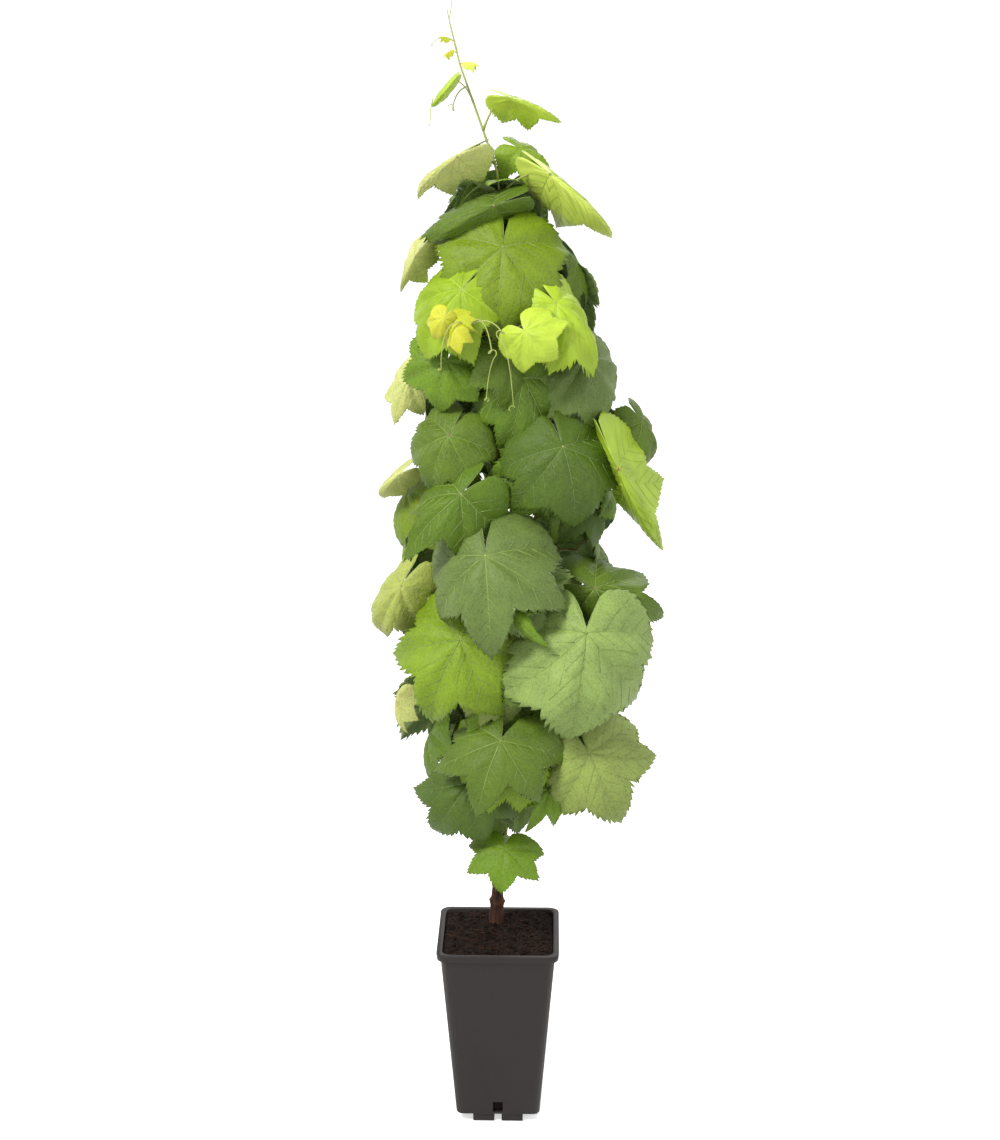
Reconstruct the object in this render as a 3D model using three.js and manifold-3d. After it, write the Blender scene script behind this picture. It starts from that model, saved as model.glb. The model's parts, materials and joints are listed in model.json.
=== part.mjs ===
// A young potted grapevine. Millimetres, +Z up.
// Origin: middle of the flat underside of the pot, which stands on z = 0. The front of the plant faces -Y.
import * as THREE from 'three';
import { mergeVertices } from 'three/addons/utils/BufferGeometryUtils.js';
import Module from 'manifold-3d';

const wasm = await Module();
wasm.setup();

// ---- driving dimensions ----
const GAP = 0.4;                 // air between touching solids
const POT = {
  rim: 150, height: 235,         // outer side of the square rim, and overall height
  lip: 8,                        // height of the rim band
  wallTop: 140, wallFoot: 104,   // outer side of the wall just under the band and at its foot
  wall: 2.6, corner: 13,         // wall thickness, outer corner radius
  floorZ: 11, floor: 3,          // underside of the floor, floor thickness
  bar: 98, barWide: 62,          // the cross-shaped foot that the pot stands on
  notch: 9, notchDeep: 26,       // groove at the middle of each side of the foot
  drain: 12, drainTop: 28,       // drainage slot at the foot of each side wall
};
const SOIL_TOP = 233;            // compost level
const PLANT_TOP = 1352;          // tip of the leading shoot
const TRUNK = { flare: 9.5, foot: 6.2, mid: 3.0, top: 1.5, tip: 0.8 };   // radii
const CANE = { foot: 3.6, tip: 1.6 };
const NECK = { inner: 2.4, outer: 3.6 };  // bundle of leaf stalks that carries each mass
const TAU = Math.PI * 2, RAD = Math.PI / 180;

// ---- colours ----
const paint = {
  pot: [0x454140, 0.55], soil: [0x2a1c15, 0.95], bark: [0x4a2e22, 0.85], cane: [0x6d6a2e, 0.6],
  dark: [0x566f26, 0.6], mid: [0x76962f, 0.55], lime: [0x9dbb3f, 0.5], grey: [0x86a463, 0.6], pale: [0xb3b56e, 0.6], yellow: [0xd3c850, 0.55],
};

// ---- helpers ----
const root = new THREE.Group();
root.name = 'grapevine';

function solid(geometry, grow = 0) {
  const g = geometry.index ? geometry.toNonIndexed() : geometry.clone();
  g.deleteAttribute('normal'); g.deleteAttribute('uv');
  const m = mergeVertices(g, 1e-3);
  if (grow) {                      // swell evenly along the surface normals
    m.computeVertexNormals();
    const p = m.attributes.position, n = m.attributes.normal;
    for (let i = 0; i < p.count; i++) p.setXYZ(i, p.getX(i) + grow * n.getX(i), p.getY(i) + grow * n.getY(i), p.getZ(i) + grow * n.getZ(i));
  }
  const idx = m.index.array, tri = [];
  for (let i = 0; i < idx.length; i += 3) {
    const [a, b, c] = [idx[i], idx[i + 1], idx[i + 2]];
    if (a !== b && b !== c && a !== c) tri.push(a, b, c);
  }
  return new wasm.Manifold(new wasm.Mesh({
    numProp: 3, vertProperties: new Float32Array(m.attributes.position.array), triVerts: new Uint32Array(tri) }));
}
function largest(s) {
  return s.decompose().sort((a, b) => b.volume() - a.volume())[0];
}
function addNode(name, s, look) {
  const mesh = s.getMesh();
  const g = new THREE.BufferGeometry();
  const xyz = new Float32Array(mesh.numVert * 3);
  for (let i = 0; i < mesh.numVert; i++) for (let k = 0; k < 3; k++) xyz[3 * i + k] = mesh.vertProperties[i * mesh.numProp + k];
  g.setAttribute('position', new THREE.BufferAttribute(xyz, 3));
  g.setIndex(new THREE.BufferAttribute(new Uint32Array(mesh.triVerts), 1));
  g.computeVertexNormals();
  const [color, roughness] = paint[look];
  const out = new THREE.Mesh(g, new THREE.MeshStandardMaterial({ color, roughness, metalness: 0 }));
  out.name = name;
  root.add(out);
}
// upright box with rounded corners, side a at the bottom and b at the top
function tapered(a, b, z0, z1, r) {
  const h = a / 2, s = new THREE.Shape();
  s.moveTo(-h + r, -h); s.lineTo(h - r, -h); s.absarc(h - r, -h + r, r, -Math.PI / 2, 0);
  s.lineTo(h, h - r); s.absarc(h - r, h - r, r, 0, Math.PI / 2);
  s.lineTo(-h + r, h); s.absarc(-h + r, h - r, r, Math.PI / 2, Math.PI);
  s.lineTo(-h, -h + r); s.absarc(-h + r, -h + r, r, Math.PI, 1.5 * Math.PI);
  const g = new THREE.ExtrudeGeometry(s, { depth: z1 - z0, bevelEnabled: false, curveSegments: 2 });
  const p = g.attributes.position;
  for (let i = 0; i < p.count; i++) {
    const k = 1 + (b / a - 1) * (p.getZ(i) / (z1 - z0));
    p.setXYZ(i, p.getX(i) * k, p.getY(i) * k, p.getZ(i) + z0);
  }
  return solid(g);
}
function block(w, d, z0, z1, x = 0, y = 0) {
  return solid(new THREE.BoxGeometry(w, d, z1 - z0).translate(x, y, (z0 + z1) / 2));
}
// tapering limb: a closed cylinder bent along a smooth line
function limb(points, radius, sides, steps, fatter = 0, levelFoot = false) {
  const curve = new THREE.CatmullRomCurve3(points.map((p) => new THREE.Vector3(...p)), false, 'centripetal');
  const g = new THREE.CylinderGeometry(1, 1, 1, sides, steps);
  const p = g.attributes.position, n = new THREE.Vector3(), b = new THREE.Vector3(), up = new THREE.Vector3(0, 1, 0.001);
  for (let i = 0; i < p.count; i++) {
    const t = Math.min(1, Math.max(0, p.getY(i) + 0.5));
    const c = curve.getPointAt(t), d = levelFoot && t < 1e-6 ? new THREE.Vector3(0, 0, 1) : curve.getTangentAt(t);
    n.crossVectors(up, d).normalize(); b.crossVectors(d, n).normalize();
    const r = radius(t) + fatter;
    c.addScaledVector(b, p.getX(i) * r).addScaledVector(n, p.getZ(i) * r);
    p.setXYZ(i, c.x, c.y, c.z);
  }
  return solid(g);
}
const mix = (a, b, t) => a + (b - a) * t;
const taper = (a, b) => (t) => mix(a, b, t);
// repeatable numbers from a seed
function dice(seed) {
  let s = seed * 2654435761 >>> 0;
  return () => { s = (s + 0x6d2b79f5) >>> 0; let t = Math.imul(s ^ (s >>> 15), 1 | s); t = (t + Math.imul(t ^ (t >>> 7), 61 | t)) ^ t; return ((t ^ (t >>> 14)) >>> 0) / 4294967296; };
}

// ---- pot ----
const slope = (z) => mix(POT.wallFoot, POT.wallTop, (z - POT.floorZ) / (POT.height - POT.lip - POT.floorZ));
const floorTop = POT.floorZ + POT.floor;
let pot = tapered(POT.wallFoot, POT.wallTop, POT.floorZ, POT.height - POT.lip, POT.corner * 0.7)
  .add(tapered(POT.rim - 1.5, POT.rim, POT.height - POT.lip - 0.5, POT.height, POT.corner))
  .add(block(POT.bar, POT.barWide, 0, POT.floorZ + 0.5)).add(block(POT.barWide, POT.bar, 0, POT.floorZ + 0.5));
const inner = (cut, z0, z1) => tapered(slope(z0) - 2 * cut, slope(z1) - 2 * cut, z0, z1, POT.corner * 0.6);
pot = pot.subtract(inner(POT.wall, floorTop, POT.height + 1));
for (const [x, y] of [[0, -1], [0, 1], [-1, 0], [1, 0]]) {
  const at = (POT.bar - POT.notchDeep) / 2 + 0.5;
  pot = pot.subtract(block(x ? POT.notchDeep + 1 : POT.notch, y ? POT.notchDeep + 1 : POT.notch, -1, POT.floorZ, x * at, y * at));
  const side = POT.wallFoot / 2;
  pot = pot.subtract(block(x ? 14 : POT.drain, y ? 14 : POT.drain, floorTop, POT.drainTop, x * side, y * side));
}
addNode('pot', pot, 'pot');
addNode('compost', inner(POT.wall + GAP, floorTop + GAP, SOIL_TOP), 'soil');

// ---- stems ----
// line of the main trunk: it leans a little forward as it rises, and the shoot at the top bends to the left
const trunkLine = [[-4, 28, SOIL_TOP + GAP], [0, 24, 340], [5, 20, 530], [7, 14, 770], [5, 8, 1020], [4, 4, 1130], [-10, 0, 1205], [-32, -3, 1252], [-43, -4, 1290], [-58, -6, PLANT_TOP]];
const trunkRadius = (t) => t < 0.03 ? mix(TRUNK.flare, TRUNK.foot, t / 0.03) : t < 0.5 ? mix(TRUNK.foot, TRUNK.mid, (t - 0.03) / 0.47)
  : t < 0.85 ? mix(TRUNK.mid, TRUNK.top, (t - 0.5) / 0.35) : mix(TRUNK.top, TRUNK.tip, (t - 0.85) / 0.15);
const trunk = limb(trunkLine, trunkRadius, 8, 18, 0, true);
addNode('trunk', trunk, 'bark');
let taken = limb(trunkLine, trunkRadius, 8, 18, GAP, true).add(block(200, 200, -5, SOIL_TOP + GAP));   // space already filled, with its gap

// other stems: where each leaves, the way it goes, where it ends
const stems = {
  second_cane: [[[3, 24, 285], [16, 18, 532], [21, 12, 771], [18, 4, 880], [6, -20, 950], [-24, -78, 992]], CANE.foot, CANE.tip, 12],
  left_bough: [[[4, 18, 690], [-24, -2, 745], [-58, -18, 800]], 2.6, 1.7, 6],
  right_bough: [[[20, 12, 735], [62, 0, 790], [118, -14, 872]], 2.6, 1.7, 7],
  low_right_bough: [[[2, 22, 400], [40, 2, 455], [84, -30, 520]], 2.8, 1.7, 6],
  low_left_bough: [[[4, 20, 500], [-24, 0, 560], [-60, -24, 610]], 2.6, 1.7, 6],
  high_back_bough: [[[5, 12, 830], [10, 45, 880], [18, 72, 950]], 2.4, 1.6, 6],
  low_back_bough: [[[3, 22, 470], [-14, 58, 530], [-26, 82, 610]], 2.6, 1.7, 6],
};
const reach = { trunk: trunkLine };
for (const [name, [line, r0, r1, steps]] of Object.entries(stems)) {
  const s = largest(limb(line, taper(r0, r1), 6, steps).subtract(taken));
  addNode(name, s, name === 'second_cane' ? 'cane' : 'bark');
  taken = taken.add(limb(line, taper(r0, r1), 6, steps, GAP));
  reach[name] = line;
}

// ---- masses of foliage ----
// name: [middle x, y, z], [width, length], turn, pitch, slant, stem that carries it, look
// Turn 0 faces the front, 90 the right side and 180 the back. Pitch is how far the face looks up, and slant is how far
// the tip swings from straight down, towards +X on the front.
const masses = {
  young_tip: [[-50, -112, 1012], [54, 56], -8, 12, -20, 'second_cane', 'yellow'],
  bright_centre: [[35, -106, 1003], [72, 66], 4, 16, 42, 'trunk', 'lime'],
  centre_big: [[-9, -104, 709], [146, 158], -2, 16, -12, 'trunk', 'grey'],
  right_big: [[96, -100, 612], [150, 192], 8, 14, 6, 'low_right_bough', 'grey'],
  left_low: [[-46, -84, 797], [108, 146], -10, 18, -42, 'left_bough', 'mid'],
  right_dark: [[79, -80, 842], [118, 134], 12, 12, 12, 'right_bough', 'dark'],
  mid_left: [[-46, -76, 1029], [88, 122], -14, 20, -48, 'trunk', 'lime'],
  mid_right: [[70, -74, 1012], [84, 124], 16, 20, 40, 'trunk', 'lime'],
  upper_centre: [[3, -58, 1060], [128, 132], 0, 14, 0, 'trunk', 'mid'],
  bottom_left: [[-6, -88, 490], [140, 130], -4, 18, -14, 'trunk', 'mid'],
  bottom_right: [[116, -62, 470], [116, 134], 16, 16, 18, 'low_right_bough', 'mid'],
  left_lime: [[-50, -70, 610], [126, 152], -12, 16, -26, 'low_left_bough', 'mid'],
  centre: [[24, -52, 913], [92, 132], 6, 10, -6, 'trunk', 'mid'],
  left_mid: [[-57, -52, 944], [80, 84], -20, 14, -15, 'trunk', 'mid'],
  left_drop: [[-59, -58, 856], [80, 108], -18, 12, -24, 'left_bough', 'mid'],
  right_grey: [[96, -34, 938], [92, 110], 24, 12, 18, 'trunk', 'grey'],
  right_hang: [[158, -28, 822], [46, 190], 30, 4, 26, 'right_bough', 'lime'],
  right_mid: [[137, -34, 679], [86, 146], 22, 18, 60, 'second_cane', 'mid'],
  low_small: [[54, -54, 433], [54, 82], 10, 14, -36, 'low_right_bough', 'mid'],
  bottom_under: [[-43, -50, 434], [100, 116], -8, 14, -30, 'trunk', 'dark'],
  lowest_leaf: [[6, -52, 349], [82, 72], 0, 30, -8, 'trunk', 'mid'],
  dark_left: [[-27, -28, 1135], [78, 140], -14, 30, -60, 'trunk', 'dark'],
  cap_left: [[-50, -18, 1181], [46, 108], -26, 24, -58, 'trunk', 'pale'],
  cap_right: [[32, 6, 1185], [50, 74], 20, 40, 50, 'trunk', 'mid'],
  droop_right: [[74, -20, 1158], [50, 142], 24, 20, 50, 'trunk', 'lime'],
  top_right_leaf: [[24, 0, 1250], [26, 92], 24, 16, 60, 'trunk', 'lime'],
  top_left_leaf: [[-60, -14, 1267], [18, 54], -20, 8, -38, 'trunk', 'lime'],
  left_slip: [[-94, -12, 1070], [30, 78], -30, 6, -42, 'trunk', 'pale'],
  left_pale: [[-116, -10, 664], [74, 122], -34, 6, -26, 'low_left_bough', 'pale'],
  left_slip_low: [[-111, -4, 529], [34, 66], -40, 6, 8, 'low_left_bough', 'pale'],
  right_mid_up: [[102, 6, 771], [94, 90], 34, 10, 14, 'right_bough', 'dark'],
  left_pale_high: [[-103, -4, 918], [50, 78], -34, 6, -14, 'trunk', 'pale'],
  right_side_leaf: [[167, 14, 862], [66, 84], 40, 8, 18, 'right_bough', 'mid'],
  left_roll: [[-115, -18, 824], [38, 72], -34, 4, -48, 'left_bough', 'pale'],
  back_top: [[6, 62, 1120], [108, 106], 180, 20, 10, 'trunk', 'mid'],
  back_upper_left: [[-44, 70, 1010], [112, 128], 200, 16, -15, 'high_back_bough', 'dark'],
  back_upper_right: [[62, 62, 1012], [106, 124], 155, 16, 15, 'high_back_bough', 'mid'],
  back_mid_left: [[-56, 68, 868], [94, 122], 205, 14, -10, 'high_back_bough', 'mid'],
  back_mid_right: [[94, 68, 850], [104, 140], 140, 14, 10, 'high_back_bough', 'dark'],
  back_left: [[-84, 60, 716], [112, 128], 225, 14, -10, 'low_back_bough', 'mid'],
  back_right: [[104, 62, 690], [118, 134], 140, 14, 10, 'low_back_bough', 'dark'],
  back_low_centre: [[6, 96, 610], [130, 146], 180, 14, 0, 'low_back_bough', 'mid'],
  back_low_left: [[-60, 66, 500], [106, 118], 210, 14, -10, 'low_back_bough', 'dark'],
  back_low_right: [[78, 66, 486], [112, 122], 150, 14, 10, 'low_back_bough', 'mid'],
  side_left_high: [[-74, 18, 1000], [94, 108], -85, 14, 0, 'trunk', 'mid'],
  side_left_mid: [[-102, 12, 765], [100, 114], -80, 14, 0, 'left_bough', 'mid'],
  side_left_low: [[-76, 10, 468], [88, 98], -95, 14, 0, 'low_left_bough', 'mid'],
  side_right_high: [[88, 26, 1046], [80, 86], 90, 14, 0, 'trunk', 'dark'],
  side_right_mid: [[120, 44, 790], [94, 108], 100, 14, 0, 'right_bough', 'mid'],
  side_right_low: [[118, 26, 582], [90, 112], 95, 14, 0, 'low_right_bough', 'mid'],
};
const PAD = { plump: 0.15, least: 6, arch: 0.22 };   // thickness as a share of the size, with its least, and how far it bows

// outline of a mass: a long tip, two lobes to each side, a round shoulder and a notch where the stalk comes in
function outline(a) {
  const notch = Math.max(0, -Math.cos(a)) ** 10, shoulder = Math.exp(-(((Math.abs(a) / RAD - 150) / 22) ** 2));
  return 0.8 + 0.085 * Math.cos(6 * a) + 0.115 * Math.cos(a) - 0.2 * notch + 0.09 * shoulder;
}
// uneven pad with that outline, bowed so that its edge and tip fall back, set at its own turn, pitch and slant
function pad([width, length], middle, turn, pitch, slant, seed, fatter) {
  const rnd = dice(seed), ph = [rnd() * TAU, rnd() * TAU], bump = 0.03 + 0.03 * rnd(), bow = PAD.arch + 0.12 * rnd();
  const across = Math.sqrt(width * length), thick = PAD.plump * across + PAD.least;
  const g = new THREE.SphereGeometry(1, 12, 4);             // its poles are at the two faces of the pad
  const p = g.attributes.position, v = new THREE.Vector3(), lo = new THREE.Vector3(1e9, 1e9, 1e9), hi = lo.clone().negate();
  for (let i = 0; i < p.count; i++) {
    const [x, y, z] = [p.getX(i), p.getY(i), p.getZ(i)];
    const a = Math.atan2(x, -z), r = Math.hypot(x, z);
    const k = (1 + r * (outline(a) - 1 + bump * Math.sin(3 * a + ph[0]) + 0.5 * bump * Math.sin(5 * a + ph[1]))) / 1.62;
    const [px, pz] = [x * k * width, z * k * length];
    v.set(px, y * thick / 2 + 1.2 * bow * (px * px + pz * pz) / across, pz);
    v.applyAxisAngle(new THREE.Vector3(0, 1, 0), -slant * RAD);
    v.applyAxisAngle(new THREE.Vector3(1, 0, 0), -pitch * RAD);
    v.applyAxisAngle(new THREE.Vector3(0, 0, 1), turn * RAD);
    p.setXYZ(i, v.x, v.y, v.z); lo.min(v); hi.max(v);
  }
  const shift = new THREE.Vector3(...middle).sub(lo.add(hi).multiplyScalar(0.5));
  g.translate(shift.x, shift.y, shift.z);
  return { body: solid(g, 1.4 * fatter), heart: shift.toArray() };   // the heart is where the stalks meet the pad
}
// point of a stem nearest below the middle of a mass, where its leaf stalks leave
function carrier(name, middle) {
  const c = new THREE.CatmullRomCurve3(reach[name].map((p) => new THREE.Vector3(...p)), false, 'centripetal');
  let best = null;
  for (let i = 0; i <= 200; i++) {
    const q = c.getPointAt(i / 200), d = q.distanceTo(new THREE.Vector3(middle[0], middle[1], middle[2] - 12));
    if (!best || d < best.d) best = { d, q };
  }
  return best.q.toArray();
}
let seed = 11;
for (const [name, [middle, size, turn, pitch, slant, stem, look]] of Object.entries(masses)) {
  seed += 7;
  const from = carrier(stem, middle);
  const build = (f) => {
    const { body, heart } = pad(size, middle, turn, pitch, slant, seed, f);
    return body.add(limb([from, heart], taper(NECK.inner, NECK.outer), 4, 1, f));
  };
  addNode(name, largest(build(0).subtract(taken)), look);
  taken = taken.add(build(GAP)).add(build(0));
}

export default root;
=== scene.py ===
# Looks of a young potted grapevine. Every leaf, stalk and tendril is grown by a seeded rule from the stems into the room
# of the frame's foliage masses.
import json
from math import radians, sin, cos, pi
import bpy
import numpy as np
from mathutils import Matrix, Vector


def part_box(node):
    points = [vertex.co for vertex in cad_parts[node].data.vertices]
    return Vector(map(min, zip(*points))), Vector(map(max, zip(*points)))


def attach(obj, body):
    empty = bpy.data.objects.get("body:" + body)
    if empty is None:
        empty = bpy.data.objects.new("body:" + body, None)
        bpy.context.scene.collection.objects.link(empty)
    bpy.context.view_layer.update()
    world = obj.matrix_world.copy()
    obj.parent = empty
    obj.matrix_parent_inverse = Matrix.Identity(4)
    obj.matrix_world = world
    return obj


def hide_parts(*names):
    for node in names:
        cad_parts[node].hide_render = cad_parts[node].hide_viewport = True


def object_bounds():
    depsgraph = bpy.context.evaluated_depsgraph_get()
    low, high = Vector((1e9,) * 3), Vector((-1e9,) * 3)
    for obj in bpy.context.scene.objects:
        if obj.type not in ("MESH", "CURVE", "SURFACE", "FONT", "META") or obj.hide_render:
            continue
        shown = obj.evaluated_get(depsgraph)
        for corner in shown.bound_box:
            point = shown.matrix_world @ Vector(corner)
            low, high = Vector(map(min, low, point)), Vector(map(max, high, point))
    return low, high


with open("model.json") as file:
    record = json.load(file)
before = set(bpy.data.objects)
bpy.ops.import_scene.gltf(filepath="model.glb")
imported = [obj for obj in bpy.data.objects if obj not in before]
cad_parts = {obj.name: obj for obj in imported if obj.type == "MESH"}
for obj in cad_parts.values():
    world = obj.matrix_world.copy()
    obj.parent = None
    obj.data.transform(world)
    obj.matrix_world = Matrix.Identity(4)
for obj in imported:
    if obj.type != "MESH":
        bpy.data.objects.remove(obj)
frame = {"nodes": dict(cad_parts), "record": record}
rec, nodes = frame["record"], frame["nodes"]
SLOT = {s["node"]: s["material_slot"] for s in rec["subparts"]}
lo0, hi0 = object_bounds()
CAD_BOX = [list(map(float, lo0)), list(map(float, hi0))]

STEMS = ["trunk", "second_cane"] + sorted(n for n in nodes if n.endswith("bough"))
MASSES = sorted(n for n in nodes if n not in STEMS and n not in ("pot", "compost"))
UP = np.array([0.0, 0.0, 1.0])

# ---------------------------------------------------------------- small helpers
def unit(v):
    return v / max(np.linalg.norm(v), 1e-12)


def noise(p, seed, freq):
    """Smooth repeatable noise at points p (n,3), about -1 to 1: a sum of seeded plane waves."""
    r = np.random.default_rng(seed)
    out = np.zeros(len(p))
    for k in range(7):
        d = r.normal(size=3)
        d /= np.linalg.norm(d)
        out += np.sin(p @ d * freq * (0.7 + 0.25 * k) + r.uniform(0, 2 * pi)) / (1 + 0.25 * k)
    return out / 3.2


def mesh_object(name, verts, tris, mats, index=None, smooth=True):
    me = bpy.data.meshes.new(name)
    verts, tris = np.asarray(verts, np.float32), np.asarray(tris, np.int32)
    me.vertices.add(len(verts))
    me.vertices.foreach_set("co", verts.ravel())
    me.loops.add(len(tris) * 3)
    me.loops.foreach_set("vertex_index", tris.ravel())
    me.polygons.add(len(tris))
    me.polygons.foreach_set("loop_start", np.arange(len(tris), dtype=np.int32) * 3)
    me.polygons.foreach_set("loop_total", np.full(len(tris), 3, np.int32))
    for m in mats:
        me.materials.append(m)
    if index is not None:
        me.polygons.foreach_set("material_index", np.asarray(index, np.int32))
    me.polygons.foreach_set("use_smooth", np.full(len(tris), smooth))
    me.update(calc_edges=True)
    me.validate()
    ob = bpy.data.objects.new(name, me)
    bpy.context.scene.collection.objects.link(ob)
    return ob


class Heap:
    """Gathers triangles with a material index each."""
    def __init__(self):
        self.v, self.t, self.m, self.n = [], [], [], 0

    def add(self, v, t, m):
        self.v.append(np.asarray(v)), self.t.append(np.asarray(t) + self.n)
        self.m.append(np.full(len(t), m) if np.isscalar(m) else np.asarray(m))
        self.n += len(v)

    def build(self, name, mats):
        return mesh_object(name, np.concatenate(self.v), np.concatenate(self.t), mats, np.concatenate(self.m))


def smooth_line(pts, n):
    """n points on a Catmull-Rom line through pts."""
    p = np.asarray(pts, float)
    p = np.vstack([2 * p[0] - p[1], p, 2 * p[-1] - p[-2]])
    seg = len(p) - 3
    u = np.linspace(0, seg - 1e-9, n)
    i = u.astype(int)
    t = (u - i)[:, None]
    a, b, c, d = p[i], p[i + 1], p[i + 2], p[i + 3]
    return 0.5 * (2 * b + (c - a) * t + (2 * a - 5 * b + 4 * c - d) * t ** 2 + (3 * b - a - 3 * c + d) * t ** 3)


def tube(line, radius, sides, relief=None):
    """Closed tube round a line. radius is one number for each point. relief(i, angle) gives a share of the radius to add."""
    line, radius = np.asarray(line, float), np.asarray(radius, float)
    tan = np.gradient(line, axis=0)
    tan /= np.linalg.norm(tan, axis=1)[:, None] + 1e-12
    nrm = unit(np.cross(tan[0], [0.3, 1, 0.1]))
    ang = np.linspace(0, 2 * pi, sides, endpoint=False)
    rings = []
    for i in range(len(line)):
        nrm = unit(nrm - tan[i] * (nrm @ tan[i]))
        b = np.cross(tan[i], nrm)
        r = np.full(sides, radius[i])
        if relief is not None:
            r = r * (1 + relief(i, ang))
        rings.append(line[i] + np.outer(r * np.cos(ang), nrm) + np.outer(r * np.sin(ang), b))
    v = np.vstack(rings + [line[:1], line[-1:]])
    n, t = len(line), []
    k = np.arange(sides)
    k2 = (k + 1) % sides
    for i in range(n - 1):
        a, b = i * sides, (i + 1) * sides
        t += [np.stack([a + k, a + k2, b + k2], 1), np.stack([a + k, b + k2, b + k], 1)]
    t.append(np.stack([np.full(sides, n * sides), k2, k], 1))
    t.append(np.stack([np.full(sides, n * sides + 1), (n - 1) * sides + k, (n - 1) * sides + k2], 1))
    return v, np.vstack(t)


# ---------------------------------------------------------------- materials
def lin(c):
    return tuple((x / 255 / 12.92) if x / 255 <= 0.04045 else ((x / 255 + 0.055) / 1.055) ** 2.4 for x in c) + (1.0,)


def material(name, rgb, rough, vary=0.18, scale=60.0, bump=0.15, bump_scale=400.0, spec=0.5, sheen=0.0, stretch=None, trans=0.0, dark=None, subs=0.0):
    m = bpy.data.materials.new(name)
    m.use_nodes = True
    m.diffuse_color = lin(rgb)
    t = m.node_tree
    b = t.nodes["Principled BSDF"]
    co = t.nodes.new("ShaderNodeTexCoord")
    mp = t.nodes.new("ShaderNodeMapping")
    if stretch:
        mp.inputs["Scale"].default_value = stretch
    t.links.new(co.outputs["Object"], mp.inputs["Vector"])
    n1 = t.nodes.new("ShaderNodeTexNoise")
    n1.inputs["Scale"].default_value, n1.inputs["Detail"].default_value = scale, 6
    t.links.new(mp.outputs["Vector"], n1.inputs["Vector"])
    ramp = t.nodes.new("ShaderNodeValToRGB")
    base = lin(rgb)
    low = lin(dark) if dark else tuple(x * (1 - vary) for x in base[:3]) + (1,)
    high = tuple(min(1, x * (1 + vary)) for x in base[:3]) + (1,)
    ramp.color_ramp.elements[0].position, ramp.color_ramp.elements[0].color = 0.32, low
    ramp.color_ramp.elements[1].position, ramp.color_ramp.elements[1].color = 0.68, high
    t.links.new(n1.outputs["Fac"], ramp.inputs["Fac"])
    t.links.new(ramp.outputs["Color"], b.inputs["Base Color"])
    mr = t.nodes.new("ShaderNodeMapRange")
    mr.inputs["To Min"].default_value, mr.inputs["To Max"].default_value = max(0.05, rough - 0.09), min(1, rough + 0.09)
    t.links.new(n1.outputs["Fac"], mr.inputs["Value"])
    t.links.new(mr.outputs["Result"], b.inputs["Roughness"])
    n2 = t.nodes.new("ShaderNodeTexNoise")
    n2.inputs["Scale"].default_value, n2.inputs["Detail"].default_value = bump_scale, 4
    t.links.new(mp.outputs["Vector"], n2.inputs["Vector"])
    bm = t.nodes.new("ShaderNodeBump")
    bm.inputs["Strength"].default_value, bm.inputs["Distance"].default_value = bump, 0.001
    t.links.new(n2.outputs["Fac"], bm.inputs["Height"])
    t.links.new(bm.outputs["Normal"], b.inputs["Normal"])
    b.inputs["Specular IOR Level"].default_value = spec
    b.inputs["Sheen Weight"].default_value = sheen
    return m


def leaf_material(name, rgb, rough, net_rgb, net=0.30, pucker=0.5, spec=0.26, sheen=0.0):
    """Blade: mottled colour, a fine pale net of veinlets, and skin puckered between them."""
    m = material(name, rgb, rough, 0.15, 34, 0.30, 620, spec, sheen)
    t = m.node_tree
    b = t.nodes["Principled BSDF"]
    co = next(n for n in t.nodes if n.bl_idname == "ShaderNodeTexCoord")
    warp = t.nodes.new("ShaderNodeTexNoise")
    warp.inputs["Scale"].default_value, warp.inputs["Detail"].default_value = 120, 2
    t.links.new(co.outputs["Object"], warp.inputs["Vector"])
    shift = t.nodes.new("ShaderNodeVectorMath")
    shift.operation = "MULTIPLY_ADD"
    shift.inputs[1].default_value = (0.004, 0.004, 0.004)
    t.links.new(warp.outputs["Color"], shift.inputs[0])
    t.links.new(co.outputs["Object"], shift.inputs[2])
    vor = t.nodes.new("ShaderNodeTexVoronoi")
    vor.feature = "DISTANCE_TO_EDGE"
    vor.inputs["Scale"].default_value = 230
    t.links.new(shift.outputs["Vector"], vor.inputs["Vector"])
    mr = t.nodes.new("ShaderNodeMapRange")
    mr.inputs["From Min"].default_value, mr.inputs["From Max"].default_value = 0.0, 0.16
    mr.inputs["To Min"].default_value, mr.inputs["To Max"].default_value = net, 0.0
    t.links.new(vor.outputs["Distance"], mr.inputs["Value"])
    mix = t.nodes.new("ShaderNodeMix")
    mix.data_type = "RGBA"
    mix.inputs[7].default_value = lin(net_rgb)
    ramp = next(n for n in t.nodes if n.bl_idname == "ShaderNodeValToRGB")
    t.links.new(mr.outputs["Result"], mix.inputs[0])
    t.links.new(ramp.outputs["Color"], mix.inputs[6])
    t.links.new(mix.outputs[2], b.inputs["Base Color"])
    old = next(n for n in t.nodes if n.bl_idname == "ShaderNodeBump")
    bp = t.nodes.new("ShaderNodeBump")
    bp.inputs["Strength"].default_value, bp.inputs["Distance"].default_value = pucker, 0.0012
    t.links.new(vor.outputs["Distance"], bp.inputs["Height"])
    t.links.new(old.outputs["Normal"], bp.inputs["Normal"])
    t.links.new(bp.outputs["Normal"], b.inputs["Normal"])
    b.inputs["Subsurface Weight"].default_value = 0.10
    b.inputs["Subsurface Radius"].default_value = (0.55, 1.0, 0.15)
    b.inputs["Subsurface Scale"].default_value = 0.0015
    return m


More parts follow.
